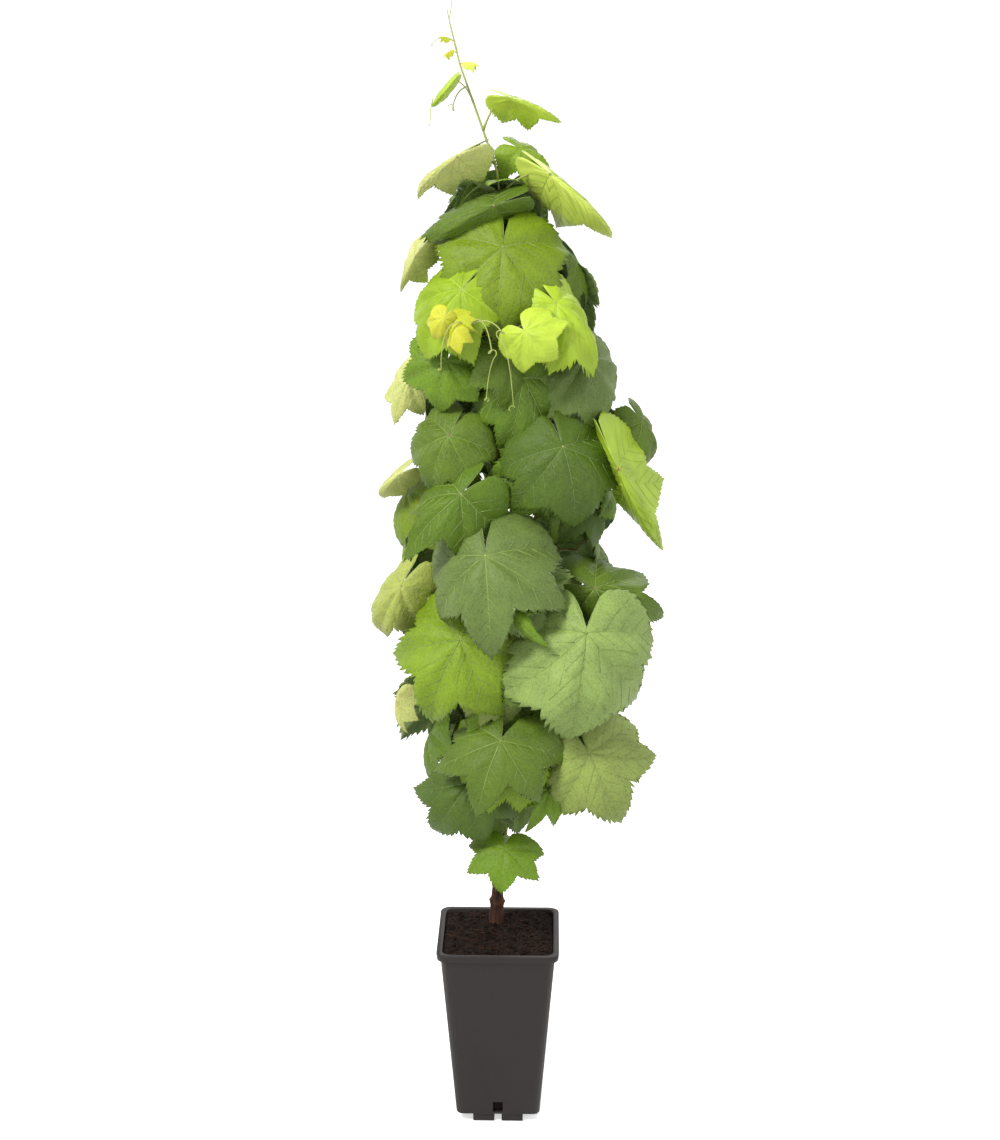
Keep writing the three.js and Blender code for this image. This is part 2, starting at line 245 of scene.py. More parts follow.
TINTS = {   # plain colours of each kind of leaf, dealt out leaf by leaf
    "leaf_dark": [(88, 112, 30), (76, 100, 28), (96, 120, 32), (84, 106, 40)],
    "leaf_mid": [(104, 136, 28), (86, 114, 24), (124, 152, 34), (142, 160, 80), (90, 114, 32), (112, 136, 28)],
    "leaf_lime": [(160, 190, 40), (172, 202, 50), (146, 176, 34), (188, 214, 70), (214, 234, 104)],
    "leaf_grey": [(128, 154, 80), (102, 123, 60), (140, 164, 88)],
    "leaf_pale": [(184, 194, 104), (168, 180, 88), (196, 204, 122)],
    "leaf_yellow": [(204, 206, 60), (210, 200, 74), (192, 200, 54)],
}
LOBED = {"upper_centre": 0.15, "left_low": 0.85, "centre": 0.45, "bottom_left": 0.95, "bottom_right": 0.55, "left_lime": 0.60, "left_drop": 0.5,
         "left_mid": 0.4, "centre_big": 0.65, "right_big": 0.15, "right_dark": 0.35, "dark_left": 0.6, "right_mid": 0.95, "lowest_leaf": 0.6,
         "low_small": 0.9, "bottom_under": 0.6, "right_side_leaf": 0.5, "right_hang": 0.8, "cap_left": 0.8, "left_pale": 0.5, "left_pale_high": 0.6, "right_mid_up": 0.8}
TONE = {"right_mid": 4, "top_right_leaf": 3, "top_left_leaf": 1, "right_hang": 1, "lowest_leaf": 0, "low_small": 0, "upper_centre": 5, "left_pale": 1, "left_low": 1, "centre": 1, "bottom_left": 4, "bottom_right": 3, "left_lime": 2, "left_drop": 4, "left_mid": 0,
        "centre_big": 1, "right_big": 2, "mid_left": 2, "mid_right": 1, "bright_centre": 3, "droop_right": 4, "cap_left": 2, "cap_right": 2, "left_slip": 2, "dark_left": 0, "right_dark": 1}
UNDER = {"leaf_dark": (140, 158, 104), "leaf_mid": (156, 176, 110), "leaf_lime": (186, 208, 116), "leaf_grey": (158, 178, 124),
         "leaf_pale": (192, 198, 140), "leaf_yellow": (214, 208, 120)}
leaf_mats = {}
for slot, tints in TINTS.items():
    soft = slot in ("leaf_lime", "leaf_yellow")
    ms = [leaf_material(f"{slot}_{i}", c, 0.44 if soft else 0.50, tuple(min(255, int(x * (1.15 if soft else 1.30) + 3)) for x in c), 0.10 if soft else 0.28, 0.24 if soft else 0.55) for i, c in enumerate(tints)]
    leaf_mats[slot] = ms + [leaf_material(f"{slot}_under", UNDER[slot], 0.74, tuple(min(255, int(x * 1.10 + 8)) for x in UNDER[slot]), 0.20, 0.35, 0.25, 0.10)]
vein_mat = material("leaf_veins", (134, 154, 76), 0.55, 0.10, 90, 0.1, 600)
vein_soft_mat = material("leaf_veins_young", (182, 206, 84), 0.5, 0.08, 90, 0.1, 600)
vein_dark_mat = material("leaf_veins_dark", (108, 130, 66), 0.55, 0.10, 90, 0.1, 600)
# side veins of young leaves: real veins, given a darker green than the young main veins as painted shade of the creases
# they lie in
vein_crease_shade_mat = material("leaf_crease_shade_young", (168, 198, 58), 0.55, 0.08, 90, 0.1, 600)
vein_pale_mat = material("leaf_veins_pale", (186, 192, 118), 0.55, 0.08, 90, 0.1, 600)
stalk_mat = material("leaf_stalks", (160, 170, 88), 0.5, 0.16, 45, 0.15, 500)
stalk_red_mat = material("leaf_stalks_flushed", (150, 146, 84), 0.5, 0.22, 45, 0.15, 500, dark=(142, 92, 70))
tendril_mat = material("tendrils", (172, 186, 96), 0.5, 0.14, 60, 0.1, 500)
bark_mat = material("stem_bark", (96, 62, 44), 0.88, 0.35, 110, 0.9, 420, 0.2, stretch=(1, 1, 0.12), dark=(44, 28, 22))
cane_mat = material("green_cane", (124, 126, 54), 0.55, 0.20, 80, 0.35, 420, 0.35, stretch=(1, 1, 0.15), dark=(88, 84, 40))
shoot_mat = material("young_shoot", (166, 178, 92), 0.5, 0.14, 90, 0.2, 420, 0.35, stretch=(1, 1, 0.2))
soil_mat = material("compost_crumbs", (36, 25, 20), 0.96, 0.4, 160, 1.0, 900, 0.12, dark=(17, 11, 9))
fibre_mat = material("compost_fibres", (74, 50, 36), 0.9, 0.3, 200, 0.4, 900, 0.12, dark=(44, 28, 21))
pot_mat = material("pot_plastic", (44, 39, 38), 0.5, 0.10, 14, 0.25, 1500, 0.22)

# ---------------------------------------------------------------- the frame's own shapes
def tri_mesh(name):
    me = nodes[name].data
    co = np.empty(len(me.vertices) * 3)
    me.vertices.foreach_get("co", co)
    me.calc_loop_triangles()
    t = np.empty(len(me.loop_triangles) * 3, np.int32)
    me.loop_triangles.foreach_get("vertices", t)
    return co.reshape(-1, 3), t.reshape(-1, 3)


def centreline(name, step):
    """Middle and radius of a rising limb at even heights, from slices of its solid."""
    v, t = tri_mesh(name)
    e = np.vstack([t[:, [0, 1]], t[:, [1, 2]], t[:, [2, 0]]])
    z0, z1 = v[:, 2].min() + 1e-4, v[:, 2].max() - 1e-4
    n = max(4, int((z1 - z0) / step))
    pts, rad = [], []
    for z in np.linspace(z0, z1, n):
        a, b = v[e[:, 0]], v[e[:, 1]]
        hit = (a[:, 2] - z) * (b[:, 2] - z) < 0
        if hit.sum() < 3:
            continue
        k = ((z - a[hit, 2]) / (b[hit, 2] - a[hit, 2]))[:, None]
        p = a[hit] + (b[hit] - a[hit]) * k
        c = (p.min(0) + p.max(0)) / 2
        q = p[:, :2] - c[:2]
        w = np.linalg.eigvalsh(q.T @ q / len(q))
        pts.append(c), rad.append(float(np.sqrt(2 * max(w[0], 1e-9))))
    return np.array(pts), np.array(rad)


lines = {n: centreline(n, 0.012) for n in STEMS}


def mass_outline(a):
    """Reach of a mass in its own plane, by the angle from its tip."""
    notch = np.maximum(0, -np.cos(a)) ** 10
    return 0.8 + 0.085 * np.cos(6 * a) + 0.115 * np.cos(a) - 0.2 * notch + 0.09 * np.exp(-((abs(np.degrees(a)) - 150) / 22) ** 2)


BINS = np.radians(np.arange(-175, 180, 10))


def reach_of(x, y):
    """Furthest point in each of 36 directions."""
    ang, r = np.arctan2(x, y), np.hypot(x, y)
    k = ((ang + pi) / (2 * pi) * 36).astype(int) % 36
    out = np.zeros(36)
    np.maximum.at(out, k, r)
    have = out > 0
    return np.interp(BINS, np.r_[BINS[have] - 2 * pi, BINS[have], BINS[have] + 2 * pi], np.tile(out[have], 3))


def pad_of(name):
    """Middle, outward normal, tip direction, side direction, length and width of a mass, from its solid."""
    v, t = tri_mesh(name)
    a, b, c = v[t[:, 0]], v[t[:, 1]], v[t[:, 2]]
    area = np.linalg.norm(np.cross(b - a, c - a), axis=1) / 2
    longest = np.max([np.linalg.norm(b - a, axis=1), np.linalg.norm(c - b, axis=1), np.linalg.norm(a - c, axis=1)], axis=0)
    keep = (longest ** 2 / np.maximum(4 * area, 1e-12) < 3.2) & (area > 4e-6)      # slim faces belong to the neck of stalks
    mid = (a + b + c) / 3
    w = area * keep
    w /= w.sum()
    m = (mid * w[:, None]).sum(0)
    d = np.linalg.norm(mid - m, axis=1)
    w = w * (d < 2.1 * np.sqrt((d ** 2 * w).sum()))
    w /= w.sum()
    m = (mid * w[:, None]).sum(0)
    use = w > 0
    val, vec = np.linalg.eigh(((mid - m) * w[:, None]).T @ (mid - m))
    n = vec[:, 0]
    T = lines["trunk"][0]
    axis = T[np.argmin(abs(T[:, 2] - m[2]))]
    out = m - axis
    out[2] = 0
    if n @ out < 0:
        n = -n
    pts = np.vstack([a[use] * (1 - k) + b[use] * k for k in (0, 0.33, 0.67)] + [b[use] * (1 - k) + c[use] * k for k in (0, 0.33, 0.67)] + [c[use] * (1 - k) + a[use] * k for k in (0, 0.33, 0.67)]) - m
    down = -UP - n * (-UP @ n)
    down = unit(down)
    flat = np.cross(down, n)
    A = np.linspace(-pi, pi, 144, endpoint=False)
    ref = mass_outline(A)
    rx, ry = ref * np.sin(A), ref * np.cos(A)
    best = None
    for f in np.radians(np.arange(-130, 131, 5)):
        tp = down * cos(f) + flat * sin(f)
        sd = np.cross(tp, n)
        x, y = pts @ sd, pts @ tp
        cx, cy, wx, wy = (x.min() + x.max()) / 2, (y.min() + y.max()) / 2, x.max() - x.min(), y.max() - y.min()
        qx = (rx - (rx.min() + rx.max()) / 2) * wx / (rx.max() - rx.min())
        qy = (ry - (ry.min() + ry.max()) / 2) * wy / (ry.max() - ry.min())
        have, want = reach_of(x - cx, y - cy), reach_of(qx, qy)
        miss = np.sqrt(((have - want) ** 2).mean()) / want.mean() + 0.010 * abs(f)
        if best is None or miss < best[0]:
            best = (miss, tp, sd, m + sd * cx + tp * cy, wy, wx)
    miss, tip, side, mid_, L, W = best
    lo, hi = (np.array(x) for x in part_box(name))
    return dict(m=mid_, n=n, tip=tip, side=side, L=L, W=W, lo=lo, hi=hi, out=out, miss=miss)


def nearest_stem(p, drop=0.02):
    best = None
    for name, (pts, rad) in lines.items():
        q = pts[(pts[:, 2] < p[2] + 0.01)]
        if not len(q):
            continue
        d = np.linalg.norm(q - (p - UP * drop), axis=1)
        i = int(np.argmin(d))
        if best is None or d[i] < best[0]:
            best = (d[i], q[i], rad[min(i, len(rad) - 1)], name)
    return best[1], best[2]


def stem_at(name, z):
    pts = lines[name][0]
    return pts[int(np.argmin(abs(pts[:, 2] - z)))]


# ---------------------------------------------------------------- one leaf
def polar(deg, r):
    return np.array([r * sin(radians(deg)), r * cos(radians(deg))])


def outline_of(rng, depth, young):
    """Edge of a blade about the joint of its stalk: a pointed middle lobe, two pointed lobes and a round one to each side,
    bays between them that depth cuts in, and small uneven teeth. Gives the angle from the tip, the reach and the main veins."""
    open_ = rng.uniform(3, 9) if rng.random() < 0.6 else rng.uniform(9, 20)       # half the gap at the stalk
    th, R, veins = [], [], [(0.0, 1.0)]
    a1_, a2_ = rng.uniform(46, 55) + 4 * young, rng.uniform(97, 110)
    gap, low, high = (0.056, 0.020, 0.034) if young else (0.074, 0.030, 0.056)
    for s in (1, -1):
        a1, a2 = a1_ + rng.uniform(-4, 4), a2_ + rng.uniform(-5, 5)
        l1, l2 = rng.uniform(0.82, 0.91) + 0.04 * young, rng.uniform(0.70, 0.77) - 0.05 * young
        tip, k1, k2 = polar(0, 1), polar(a1, l1), polar(a2, l2)
        f1, f2 = rng.uniform(0.48, 0.56), rng.uniform(0.46, 0.55)
        b1 = (tip + (k1 - tip) * f1) * (0.90 - 0.36 * depth * rng.uniform(0.75, 1.15))
        b2 = (k1 + (k2 - k1) * f2) * (0.89 - 0.24 * depth * rng.uniform(0.6, 1.2))
        end = 180 - open_
        base = smooth_line([k2, polar(a2 + (end - a2) * 0.36, 0.625), polar(a2 + (end - a2) * 0.70, 0.545), polar(end, 0.40)], 60)
        edges = [(tip, b1, 0.050, 1), (k1, b1, 0.055, 1), (k1, b2, 0.050, 1), (k2, b2, 0.055, 1)]
        pts = []
        for q, (A, B, bul, _) in enumerate(edges):
            u = np.linspace(0, 1, 60)
            d = B - A
            out = np.array([d[1], -d[0]])
            out = out if out @ (A + B) > 0 else -out
            seg = A + u[:, None] * d + (bul * rng.uniform(0.7, 1.3) * 3.0 * u ** 1.15 * (1 - u) ** 0.75)[:, None] * out
            pts.append(seg[::-1] if q in (1, 3) else seg)
        pts.append(base)
        for q, seg in enumerate(pts):
            away = q in (0, 2, 4)                    # this stretch leaves a lobe's tip
            arc = np.r_[0, np.cumsum(np.linalg.norm(np.diff(seg, axis=0), axis=1))]
            n = max(2, int(round(arc[-1] / gap)))
            cut = np.cumsum(np.r_[0, rng.uniform(0.65, 1.35, n)])
            cut = cut / cut[-1] * arc[-1]
            for j in range(n):
                amp = rng.uniform(low, high) * (1.6 if rng.random() < 0.22 else 1)
                if q == 4:
                    amp *= 1 - 0.50 * j / n
                first_, last_ = (away and j == 0), (not away and j == n - 1)
                w = cut[j + 1] - cut[j]
                if first_:
                    marks = [(cut[j], 0.034 if q < 4 else 0.0), (cut[j] + w * 0.45, 0.004), (cut[j] + w * 0.8, -0.004)]
                elif last_:
                    marks = [(cut[j], -0.004), (cut[j] + w * 0.3, 0.002), (cut[j] + w * 0.68, 0.012)]
                elif away:
                    marks = [(cut[j], -0.3 * amp), (cut[j] + w * 0.30, amp), (cut[j] + w * 0.68, 0.45 * amp)]
                else:
                    marks = [(cut[j], -0.3 * amp), (cut[j] + w * 0.34, 0.45 * amp), (cut[j] + w * 0.72, amp)]
                for at, f in marks:
                    p = np.array([np.interp(at, arc, seg[:, 0]), np.interp(at, arc, seg[:, 1])])
                    r = np.hypot(*p)
                    th.append(s * np.arctan2(p[0], p[1])), R.append(r * (1 + f / r ** 0.5))
        for a, r in ((end + open_ * 0.06, 0.34), (end + open_ * 0.14, 0.25), (end + open_ * 0.26, 0.16), (end + open_ * 0.42, 0.09), (end + open_ * 0.7, 0.045)):
            th.append(s * radians(a)), R.append(r)
        veins += [(s * radians(a1), l1), (s * radians(a2), l2)]
    th, R = np.array(th), np.array(R)
    o = np.argsort(th, kind="stable")
    th, R = th[o], R[o]
    keep = np.r_[True, np.diff(th) > 0.0015]
    th, R = np.r_[th[keep], pi], np.r_[R[keep], 0.03]
    while len(th) % 3:
        j = 3 + int(np.argmin(np.diff(th[3:-4])))
        th, R = np.delete(th, j), np.delete(R, j)
    return th, R, veins


def leaf(rng, J, tip, nrm, length, widen, shut, tint, under, depth, cup, droop, wave, young=False, soft=False, fine=True):
    """Adds one lobed, toothed blade and its veins. J is where the stalk joins it, length runs from J to the tip,
    shut is how far the two halves fold towards each other."""
    th, R, ribs = outline_of(rng, depth, young)
    NA = len(th)
    M = NA // 3
    NR = (13 if fine else 9) if length > 0.03 else 8
    fr = 0.955 * (np.arange(1, NR + 1) / NR) ** 0.9
    ri = fr[:, None] * R[None, ::3]
    X = np.r_[(ri * np.sin(th[::3])).ravel(), R * np.sin(th), 0.0]
    Y = np.r_[(ri * np.cos(th[::3])).ravel(), R * np.cos(th), 0.0]
    wph = rng.uniform(0, 2 * pi, 4)
    qx, curl = rng.uniform(0, 2 * pi), rng.uniform(0.0, 0.22)
    bow = rng.uniform(0.30, 0.95) * (-1 if rng.random() < 0.12 else 1)        # each half arches down across the midrib
    lift = rng.uniform(0.050, 0.095)
    calm = max(0.15, 1 - shut / 1.1)
    bow *= min(1.0, 2.0 * calm)
    twist = rng.normal(0, 0.26) * calm
    flop = rng.normal(0, 0.14, 2) * calm
    side = np.cross(tip, nrm)
    ra, rl = np.array([x[0] for x in ribs]), np.array([x[1] for x in ribs])
    rs_, first, fork = np.array([0.135, 0.175, 0.175, 0.20, 0.20]), rng.uniform(0.12, 0.17), radians(rng.uniform(38, 45))
    pleat = 0.023 if soft else 0.015
    pucker = 0.004 if soft else 0.009

    def surface(x, y):
        """Leaf plane (unit length) to a point in the frame."""
        rr, tt = np.hypot(x, y), np.arctan2(x, y)
        edge = np.clip(rr / 0.85, 0, 1.2)
        near = np.min([abs(np.angle(np.exp(1j * (tt - a)))) for a in ra], axis=0)
        z = -cup * rr ** 2 - curl * np.clip(edge - 0.5, 0, 1) ** 2 * 1.5
        z = z + wave * edge ** 2.2 * (np.sin(2 * tt + wph[3]) + np.sin(3 * tt + wph[0]) + 0.6 * np.sin(7 * tt + wph[1]) + 0.3 * np.sin(13 * tt + wph[2]))
        z = z + lift * np.clip(rr * 1.5, 0, 1) * (1 - np.exp(-(near / 0.20) ** 2))                   # blade swells between the main veins
        # pleats: the blade dips along each side vein
        gap_ = np.angle(np.exp(1j * (tt[..., None] - ra)))
        who = np.argmin(abs(gap_), axis=-1)
        off = np.take_along_axis(gap_, who[..., None], -1)[..., 0]
        along, across = rr * np.cos(off), rr * abs(np.sin(off))
        f = (along - across / np.tan(fork)) / (0.98 * rl[who])
        step_ = rs_[who]
        phase = (f - first - 0.45 * step_ * (off < 0)) / step_
        swell = (0.5 - 0.5 * np.cos(2 * pi * phase)) * np.clip(across * 9, 0, 1) * np.clip((f + 0.02) * 14, 0, 1)
        two = np.sort(abs(gap_), axis=-1)
        fade = np.clip((two[..., 1] - two[..., 0]) / 0.20, 0, 1)                 # and lies level where two veins' grounds meet
        swell = swell * fade * fade * (3 - 2 * fade)
        z = z + swell * (pleat + pucker * np.sin(30 * x + qx) * np.sin(27 * y + 1.3 * qx))
        ax = np.sqrt(x * x + 0.0018) - 0.042
        sx = np.sign(x)
        turn_ = shut + bow * ax * 0.9 + sx * (flop[0] + flop[1] * y)
        z = z - ax * np.sin(turn_)
        xs = x * widen * np.cos(turn_)
        # the whole blade twists a little along its length
        c, s_ = np.cos(twist * y), np.sin(twist * y)
        xs, z = xs * c - z * s_, xs * s_ + z * c
        ang = droop * (y + 0.15)
        yy = np.sin(ang) / droop - 0.15
        zz = z * np.cos(ang) - (1 - np.cos(ang)) / droop
        yy = yy + z * np.sin(ang) * 0.6
        return J + (xs[..., None] * side + yy[..., None] * tip + zz[..., None] * nrm) * length

    v = surface(X, Y)
    k = np.arange(M)
    k2 = (k + 1) % M
    hub, rim = NR * M + NA, NR * M
    t = [np.stack([np.full(M, hub), k2, k], 1)]
    for i in range(NR - 1):
        a, b = i * M, (i + 1) * M
        t += [np.stack([a + k, a + k2, b + k2], 1), np.stack([a + k, b + k2, b + k], 1)]
    a = (NR - 1) * M
    o0, o1, o2, o3 = (rim + 3 * k, rim + 3 * k + 1, rim + 3 * k + 2, rim + (3 * k + 3) % NA)
    t += [np.stack([a + k, o1, o0], 1), np.stack([a + k, o2, o1], 1), np.stack([a + k, a + k2, o2], 1), np.stack([a + k2, o3, o2], 1)]
    t = np.vstack(t)
    # turn the faces so that they look along nrm
    fn = np.cross(v[t[:, 1]] - v[t[:, 0]], v[t[:, 2]] - v[t[:, 0]])
    if (fn @ nrm).sum() < 0:
        t = t[:, ::-1]
        fn = -fn
    vn = np.zeros_like(v)
    for j in range(3):
        np.add.at(vn, t[:, j], fn)
    vn /= np.linalg.norm(vn, axis=1)[:, None] + 1e-15
    thick = 0.00042
    bot = v - vn * thick
    N = len(v)
    q = np.arange(NA)
    q2 = (q + 1) % NA
    r1 = np.stack([rim + q, rim + q2, N + rim + q2], 1)
    r2 = np.stack([rim + q, N + rim + q2, N + rim + q], 1)
    e = v[rim + q2] - v[rim + q]
    if (np.einsum("ij,ij->i", np.cross(e, -vn[rim + q]), v[rim + q] - v[hub])).sum() < 0:
        r1, r2 = r1[:, ::-1], r2[:, ::-1]
    tris = np.vstack([t, t[:, ::-1] + N, r1, r2])
    idx = np.r_[np.full(len(t), tint), np.full(len(t), under), np.full(2 * NA, under)]
    # veins: a slim ridge that stands a little out of both faces
    veins = []

    def vein(p0, p1, w0, w1, n, bend=0.0, proud=0.00020):
        u = np.linspace(0, 1, n)
        d = p1 - p0
        q = p0 + u[:, None] * d + (bend * np.sin(pi * u))[:, None] * np.array([-d[1], d[0]])
        perp = unit(np.array([-d[1], d[0]]))
        w = (w0 + (w1 - w0) * u)
        mid = surface(q[:, 0], q[:, 1])
        l = surface(q[:, 0] + perp[0] * w, q[:, 1] + perp[1] * w)
        rr = surface(q[:, 0] - perp[0] * w, q[:, 1] - perp[1] * w)
        up = np.cross(l - rr, np.gradient(mid, axis=0))
        up /= np.linalg.norm(up, axis=1)[:, None] + 1e-15
        up *= np.sign((up @ nrm).sum()) or 1
        h = (w * length * 0.55)[:, None] + proud
        vv = np.stack([mid + up * h, l - up * thick / 2, mid - up * (h * 1.4 + thick), rr - up * thick / 2], 1).reshape(-1, 3)
        tt = []
        for i in range(n - 1):
            for s in range(4):
                a, b = 4 * i + s, 4 * i + (s + 1) % 4
                tt += [[a, b, b + 4], [a, b + 4, a + 4]]
        tt += [[0, 2, 1], [0, 3, 2]]
        m = 4 * (n - 1)
        tt += [[m, m + 1, m + 2], [m, m + 2, m + 3]]
        veins.append((vv, np.array(tt), n > 6))

    def reach(a):
        return np.interp(np.mod(a + pi, 2 * pi), np.r_[np.mod(th[:-1] + pi, 2 * pi), 2 * pi], R)

    # every vein keeps to the seam that the fold makes, so that it neither floats nor sinks
    for ri_, (a, far_) in enumerate(ribs):
        L = far_ * 0.98
        d = np.array([sin(a), cos(a)])
        vein(np.zeros(2), d * L, 0.0084 if ri_ < 3 else 0.0068, 0.0015, 11 if fine else 8, rng.uniform(-0.03, 0.03), 0.0024 * length)
        if length < 0.022 or (not fine and ri_ > 2):
            continue
        for s in (-1, 1):
            for f in np.arange(first + (0.45 * rs_[ri_] if s < 0 else 0), 0.86, rs_[ri_]) + rng.uniform(-0.012, 0.012):
                g = a + s * fork
                p0 = d * L * f
                e = np.array([sin(g), cos(g)])
                for q_ in np.linspace(0.42 * (1 - f * 0.4), 0.02, 14):
                    p1 = p0 + e * q_
                    if np.hypot(*p1) < reach(np.arctan2(p1[0], p1[1])) * 0.94:
                        break
                # a side vein stops where the next main vein's ground begins
                mid_ = np.array([np.min(abs(np.angle(np.exp(1j * (np.arctan2((p0 + e * z_)[0], (p0 + e * z_)[1]) - np.delete(ra, ri_)))))) - abs(np.angle(np.exp(1j * (np.arctan2((p0 + e * z_)[0], (p0 + e * z_)[1]) - a)))) for z_ in np.linspace(0.02, q_, 10)])
                if (mid_ < -0.02).any():
                    q_ = np.linspace(0.02, q_, 10)[int(np.argmax(mid_ < -0.02))]
                    p1 = p0 + e * q_
                if q_ > 0.05:
                    vein(p0, p1, 0.0030, 0.0009, 6 if fine else 3, -s * 0.05 * q_, 0.0050 * length)
    return np.vstack([v, bot]), tris, idx, veins


# ---------------------------------------------------------------- grow the foliage
blades = {s: [] for s in TINTS}
veins_all, stalks, twigs, count = Heap(), Heap(), Heap(), 0


def chord(droop, cup):
    """How a drooping blade lies about the line from its base to its tip: the lean of that line, its length, and the
    middle of the blade along it and above it, for a blade of unit length."""
    y = np.linspace(-0.40, 1.0, 15)
    z, ang = -cup * y ** 2, droop * (y + 0.15)
    yy, zz = np.sin(ang) / droop - 0.15 + z * np.sin(ang) * 0.6, z * np.cos(ang) - (1 - np.cos(ang)) / droop
    lean = float(np.arctan2(zz[0] - zz[-1], yy[-1] - yy[0]))
    along, up = yy * cos(lean) - zz * sin(lean), yy * sin(lean) + zz * cos(lean)
    return lean, float(along.max() - along.min()), float((along.max() + along.min()) / 2), float(up.mean())


LIMIT_LO, LIMIT_HI = np.array(CAD_BOX[0]) - 0.011, np.array(CAD_BOX[1]) + 0.011


def grow_leaf(rng, slot, frm, J, tip, nrm, size, widen, shut, depth, cup, droop, wave, young=False, fine=True, tone=None):
    """One leaf with its stalk, which leaves the point frm, rises and meets the blade from behind."""
    global count
    tint = int(rng.integers(0, len(TINTS[slot]))) if tone is None else tone
    soft = slot in ("leaf_lime", "leaf_yellow")
    v, tris, idx, vs = leaf(rng, J, tip, nrm, size, widen, shut, tint, len(TINTS[slot]), depth, cup, droop, wave, young, soft, fine)
    back_in = np.minimum(0, LIMIT_HI - v.max(0)) + np.maximum(0, LIMIT_LO - v.min(0))      # keep to the object's own room
    v, J, vs = v + back_in, J + back_in, [(a_ + back_in, b_, c_) for a_, b_, c_ in vs]
    blades[slot].append((v, tris, idx))
    kind = 1 if soft else {"leaf_pale": 2, "leaf_dark": 4}.get(slot, 0)
    for vv, tt, main in vs:
        # side veins of young leaves take the darker crease colour, which is painted shade along their creases
        veins_all.add(vv, tt, 3 if kind == 1 and not main else kind)
    l = np.linalg.norm(J - frm)
    back = J - nrm * min(0.014, l * 0.22) - tip * min(0.012, l * 0.18)
    a, c = unit(back - frm), np.linalg.norm(back - frm)
    bow = rng.uniform(0.08, 0.16)
    line = smooth_line([frm, frm + a * c * 0.35 + UP * c * bow, frm + a * c * 0.75 + UP * c * bow, back, J - nrm * 0.0006], 16)
    f = float(np.clip(size / 0.08, 0.42, 1.15))
    rr = np.linspace(0.0014, 0.0010, 16) * f
    rr[0] *= 1.7
    rr[1] *= 1.25
    rr[-2:] *= 1.2
    tv, tt = tube(line, rr, 7)
    stalks.add(tv, tt, int(rng.random() < 0.5) if slot != "leaf_yellow" else 0)
    count += 1


def place(rng, slot, mid_, tip, nrm, span, ratio, young, depth=None, droop=None):
    """Size, fold and joint of a leaf that spans the given length about a middle point. Gives what grow_leaf needs."""
    droop = droop or rng.uniform(0.55, 1.20)
    cup = rng.uniform(0.06, 0.18)
    lean, long_, mid_along, mid_up = chord(droop, cup)
    size = float(np.clip(span / long_, 0.010, 0.150))
    aside = np.zeros(3)
    if ratio < 0.56:                      # a slim mass is a leaf folded along its midrib and turned a little about it
        want = float(np.clip(ratio / 1.00, 0.22, 0.98))
        s = np.linspace(0, 1.32, 133)
        shut = float(s[np.argmin(abs(np.cos(s) * np.cos(0.25 * s) - want))])
        side_ = np.cross(tip, nrm) * (1 if np.cross(tip, nrm) @ UP > 0 else -1)
        widen, roll = 0.84, 0.25 * shut                    # its upper half shows more than the other, so its midrib lies lower
        aside = side_ * (cos(shut - roll) - cos(shut + roll)) * 0.26 - nrm * 0.13 * sin(shut)
        nrm = unit(nrm * cos(roll) - side_ * sin(roll))
    else:
        shut = max(rng.uniform(0.10, 0.48), float(np.arccos(np.clip(ratio * 1.03 / 0.80, 0, 1))) - 0.28)
        widen = float(np.clip(ratio * 1.03 / cos(shut + 0.28), 0.80, 1.34))
    J = mid_ - (tip * mid_along + nrm * mid_up + aside) * size
    n2, t2 = unit(nrm * cos(lean) - tip * sin(lean)), unit(tip * cos(lean) + nrm * sin(lean))
    if depth is None:                     # the biggest leaves are hardly lobed, some of the others deeply
        depth = rng.uniform(0.10, 0.55) if rng.random() < 0.5 else rng.uniform(0.45, 0.95)
    if young:
        depth *= 0.4
    return dict(slot=slot, J=J, tip=t2, nrm=n2, size=size, widen=widen, shut=shut, depth=depth, cup=cup, droop=droop,
                wave=rng.uniform(0.018, 0.042), young=young)


def branch(rng, P, todo):
    """The side twig that carries the leaves of one mass from the nearest limb, with a joint and a bud for each."""
    J0 = todo[0]["J"]
    s0, sr = nearest_stem(J0 - P["n"] * 0.012)
    if len(todo) == 1:
        return [s0]
    hub_ = J0 - P["n"] * 0.026 - UP * 0.006
    l = np.linalg.norm(hub_ - s0)
    a = unit(hub_ - s0)
    sag = np.cross(a, UP) * rng.uniform(-0.07, 0.07) * l
    n = 26
    line = smooth_line([s0, s0 + a * l * 0.33 + UP * l * 0.10 + sag, s0 + a * l * 0.68 + UP * l * 0.10 - sag, hub_], n)
    at = [n - 2, int(n * 0.72), int(n * 0.50), int(n * 0.86), int(n * 0.62)]
    rr = np.linspace(min(0.0023, sr * 1.1), 0.0012, n)
    rr[0] *= 1.35
    for i in at[1:]:
        rr[max(0, i - 1):i + 2] *= np.array([1.12, 1.4, 1.12])[:len(rr[max(0, i - 1):i + 2])]
    rr[-1] *= 0.7
    tv, tt = tube(line, rr, 8)
    twigs.add(tv, tt, 0)
    for i in at[1:len(todo)]:
        b0 = line[i] + UP * 0.0014
        bl = np.array([b0, b0 + UP * 0.0016 + a * 0.0006, b0 + UP * 0.0032 + a * 0.0012])
        tv, tt = tube(bl, [0.0011, 0.0010, 0.0002], 6)
        twigs.add(tv, tt, 0)
    return [line[i] for i in at]


